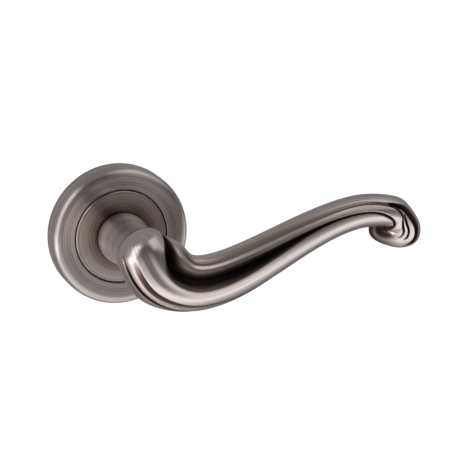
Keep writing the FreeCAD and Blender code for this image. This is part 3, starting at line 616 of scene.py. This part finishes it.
def drill(item, radius, centre, length):
    """Cut a round hole along Z into a mesh."""
    bpy.ops.mesh.primitive_cylinder_add(vertices=HOLE_SIDES, radius=radius * MM,
                                        depth=length * MM,
                                        location=[value * MM for value in centre])
    cutter = bpy.context.object
    cut = item.modifiers.new("hole", "BOOLEAN")
    cut.operation = "DIFFERENCE"
    cut.solver = "EXACT"
    cut.object = cutter
    bpy.context.view_layer.update()
    solid = item.evaluated_get(bpy.context.evaluated_depsgraph_get())
    drilled = bpy.data.meshes.new_from_object(solid)
    item.modifiers.clear()
    item.data = drilled
    bpy.data.objects.remove(cutter)


def build_lever():
    """The cast lever as two meshes, arm and neck, in place of the CAD casting."""
    arm = skin("lever_arm", *arm_rings())
    arm.data.materials.append(
        brushed_nickel("lever_nickel", LEVER_COLOUR, LENGTHWISE, stored_patina_and_shade))
    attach(arm, "lever")
    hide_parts("lever_handle")
    neck = skin("lever_neck", *neck_rings())
    # The neck's lighter colour is a painted highlight.
    neck.data.materials.append(brushed_nickel("neck_nickel_lit", NECK_LIT_COLOUR, TURNED, stored_patina_and_shade))
    drill(neck, GRUB_HOLE_RADIUS, GRUB_HOLE_CENTRE, GRUB_HOLE_LENGTH)
    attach(neck, "lever")


def build_spring(material):
    """Return spring, copied in place from the CAD spring: its front tang sits in the housing, its
    back one in the cam.
    """
    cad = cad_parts["return_spring"]
    mesh = cad.data.copy()
    mesh.transform(cad.matrix_world)
    mesh.materials.clear()
    mesh.materials.append(material)
    spring = add_object("torsion_spring", mesh)
    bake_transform(spring)
    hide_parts("return_spring")


def build_hardware():
    """Materials of the rose and of what it holds."""
    paint(brushed_nickel("rose_nickel", ROSE_COLOUR, TURNED, painted_shade_at_foot),
          "rose_ring", "collar_disc")
    paint(machined_metal("cast_zinc", *CAST_ZINC), "spring_housing")
    paint(natural_acetal("acetal"), "neck_bush")
    paint(machined_metal("ground_steel", *GROUND_STEEL), "drive_cam")
    spring_steel = machined_metal("spring_steel", *SPRING_STEEL)
    paint(spring_steel, "circlip", "snap_ring")
    build_spring(spring_steel)
    paint(machined_metal("black_oxide", *BLACK_OXIDE), "grub_screw")
    paint(machined_metal("zinc_plate", *ZINC_PLATE),
          "spindle", "backplate", "thrust_washer", "stop_pin_rest", "stop_pin_travel",
          "housing_screw_1", "housing_screw_2", "housing_screw_3",
          "fixing_bolt_upper", "fixing_bolt_lower")


def turn_towards(item, target):
    """Point an object's -Z axis at a place."""
    item.rotation_euler = (Vector(target) - item.location).to_track_quat("-Z", "Y").to_euler()


def build_room():
    """Grey studio with a bright band low in front, for the metal, and white for the camera."""
    world = bpy.data.worlds.new("studio")
    bpy.context.scene.world = world
    world.use_nodes = True
    tree = world.node_tree
    parts = node(tree, "ShaderNodeSeparateXYZ")
    tree.links.new(node(tree, "ShaderNodeTexCoord").outputs["Generated"], parts.inputs[0])
    ahead = calculate(tree, "MULTIPLY", parts.outputs["Y"], -1.0)
    angle = calculate(tree, "ARCTAN2", parts.outputs["Z"], ahead)
    turn = calculate(tree, "MULTIPLY_ADD", angle, 0.5 / math.pi, 0.5)
    brightest = max(brightness for _, brightness in ROOM)
    stops = [((degrees + 180) / 360, brightness / brightest) for degrees, brightness in ROOM]
    room = tree.nodes["Background"]
    tree.links.new(ramp(tree, turn, stops), room.inputs["Color"])
    room.inputs["Strength"].default_value = brightest
    backdrop = node(tree, "ShaderNodeBackground", Color=WHITE, Strength=BACKDROP_BRIGHTNESS)
    mix = node(tree, "ShaderNodeMixShader")
    tree.links.new(node(tree, "ShaderNodeLightPath").outputs["Is Camera Ray"], mix.inputs[0])
    tree.links.new(room.outputs[0], mix.inputs[1])
    tree.links.new(backdrop.outputs[0], mix.inputs[2])
    tree.links.new(mix.outputs[0], tree.nodes["World Output"].inputs["Surface"])


def build_floor():
    """Wide white floor far below the lever."""
    corners = [(x * FLOOR_REACH, y * FLOOR_REACH, FLOOR_HEIGHT)
               for x, y in ((-1, -1), (1, -1), (1, 1), (-1, 1))]
    mesh = bpy.data.meshes.new("floor")
    mesh.from_pydata(corners, [], [(0, 1, 2, 3)])
    material, _, shader = new_material("white_table")
    shader.inputs["Base Color"].default_value = (FLOOR_GREY, FLOOR_GREY, FLOOR_GREY, 1.0)
    shader.inputs["Roughness"].default_value = FLOOR_ROUGHNESS
    shader.inputs["Emission Color"].default_value = WHITE
    shader.inputs["Emission Strength"].default_value = FLOOR_GLOW
    mesh.materials.append(material)
    floor = add_object("floor", mesh)


def build_camera():
    """Long lens, from the upper left of the rose."""
    data = bpy.data.cameras.new("camera")
    data.lens = LENS
    data.sensor_width = SENSOR
    data.clip_start = NEAREST_SEEN * MM
    camera = add_object("camera", data)
    left, above = math.radians(CAMERA_LEFT), math.radians(CAMERA_ABOVE)
    back = Vector((-math.sin(left) * math.cos(above), -math.cos(left) * math.cos(above),
                   math.sin(above)))
    aim = Vector(CAMERA_AIM) * MM
    camera.location = aim + back * CAMERA_DISTANCE * MM
    turn_towards(camera, aim)
    bpy.context.scene.camera = camera


def build_lights():
    """Large soft lamps, which the camera doesn't see."""
    for name, place, width, height, power in LIGHTS:
        data = bpy.data.lights.new(name, "AREA")
        data.shape = "RECTANGLE"
        data.size = width
        data.size_y = height
        data.energy = power
        data.color = LIGHT_COLOUR
        lamp = add_object(name, data)
        lamp.location = place
        turn_towards(lamp, LIGHT_TARGET)
        lamp.visible_camera = False


build_lever()
build_hardware()
bpy.context.scene.view_settings.view_transform = "Standard"
build_room()
build_floor()
build_camera()
build_lights()
